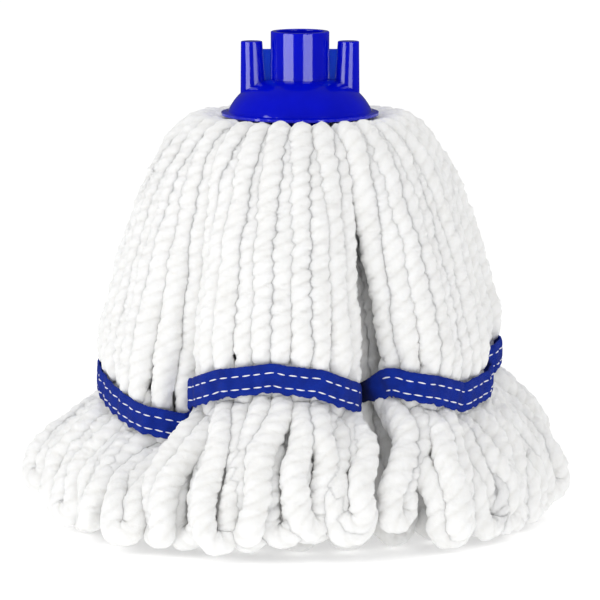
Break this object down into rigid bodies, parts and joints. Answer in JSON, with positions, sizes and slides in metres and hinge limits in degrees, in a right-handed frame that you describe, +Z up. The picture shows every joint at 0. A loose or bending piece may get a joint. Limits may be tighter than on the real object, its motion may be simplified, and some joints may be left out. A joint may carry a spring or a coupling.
{
  "type": "string mop",
  "caption": "Looped-yarn string mop head with a two-lug push-on plastic socket, six yarn bundles and a sewn tail band.",
  "frame": {"origin": "on the floor that the mop stands on, under the axis of the handle bore", "axes": "+Z up along the handle bore, out of its mouth; the front is -Y and the two lugs lie along X"},
  "size_m": [0.278, 0.278, 0.2481],
  "materials": {
    "plastic": "glossy moulded polypropylene",
    "clamp": "satin moulded polypropylene",
    "yarn": "soft twisted cotton and viscose yarn",
    "tape": "woven cotton tape",
    "stitch": "sewing thread"
  },
  "bodies": {
    "socket": {"socket_shell": "plastic", "clamp_plate": "clamp", "yarn_head": "yarn", "core_yarn": "yarn", "band_pleat_1": "tape", "band_pleat_2": "tape", "band_pleat_3": "tape", "band_pleat_4": "tape", "band_pleat_5": "tape", "band_pleat_6": "tape"},
    "lobe_1": {"yarn_loop_1_1": "yarn", "yarn_loop_1_2": "yarn", "yarn_loop_1_3": "yarn", "yarn_loop_1_4": "yarn", "yarn_loop_1_5": "yarn", "outer_tape_1": "tape", "inner_tape_1": "tape", "stitching_1": "stitch"},
    "lobe_2": {"yarn_loop_2_1": "yarn", "yarn_loop_2_2": "yarn", "yarn_loop_2_3": "yarn", "yarn_loop_2_4": "yarn", "yarn_loop_2_5": "yarn", "outer_tape_2": "tape", "inner_tape_2": "tape", "stitching_2": "stitch"},
    "lobe_3": {"yarn_loop_3_1": "yarn", "yarn_loop_3_2": "yarn", "yarn_loop_3_3": "yarn", "yarn_loop_3_4": "yarn", "yarn_loop_3_5": "yarn", "outer_tape_3": "tape", "inner_tape_3": "tape", "stitching_3": "stitch"},
    "lobe_4": {"yarn_loop_4_1": "yarn", "yarn_loop_4_2": "yarn", "yarn_loop_4_3": "yarn", "yarn_loop_4_4": "yarn", "yarn_loop_4_5": "yarn", "outer_tape_4": "tape", "inner_tape_4": "tape", "stitching_4": "stitch"},
    "lobe_5": {"yarn_loop_5_1": "yarn", "yarn_loop_5_2": "yarn", "yarn_loop_5_3": "yarn", "yarn_loop_5_4": "yarn", "yarn_loop_5_5": "yarn", "outer_tape_5": "tape", "inner_tape_5": "tape", "stitching_5": "stitch"},
    "lobe_6": {"yarn_loop_6_1": "yarn", "yarn_loop_6_2": "yarn", "yarn_loop_6_3": "yarn", "yarn_loop_6_4": "yarn", "yarn_loop_6_5": "yarn", "outer_tape_6": "tape", "inner_tape_6": "tape", "stitching_6": "stitch"}
  },
  "joints": [
    {"name": "lobe_1_swing", "type": "hinge", "parent": "socket", "child": "lobe_1", "pos_m": [-0.00536, -0.03813, 0.1996], "axis": [-0.9903, 0.1392, 0], "range_deg": [0, 14]},
    {"name": "lobe_2_swing", "type": "hinge", "parent": "socket", "child": "lobe_2", "pos_m": [0.03034, -0.0237, 0.1996], "axis": [-0.6157, -0.788, 0], "range_deg": [0, 14]},
    {"name": "lobe_3_swing", "type": "hinge", "parent": "socket", "child": "lobe_3", "pos_m": [0.0357, 0.01442, 0.1996], "axis": [0.3746, -0.9272, 0], "range_deg": [0, 14]},
    {"name": "lobe_4_swing", "type": "hinge", "parent": "socket", "child": "lobe_4", "pos_m": [0.00536, 0.03813, 0.1996], "axis": [0.9903, -0.1392, 0], "range_deg": [0, 14]},
    {"name": "lobe_5_swing", "type": "hinge", "parent": "socket", "child": "lobe_5", "pos_m": [-0.03034, 0.0237, 0.1996], "axis": [0.6157, 0.788, 0], "range_deg": [0, 14]},
    {"name": "lobe_6_swing", "type": "hinge", "parent": "socket", "child": "lobe_6", "pos_m": [-0.0357, -0.01442, 0.1996], "axis": [-0.3746, 0.9272, 0], "range_deg": [0, 14]}
  ]
}
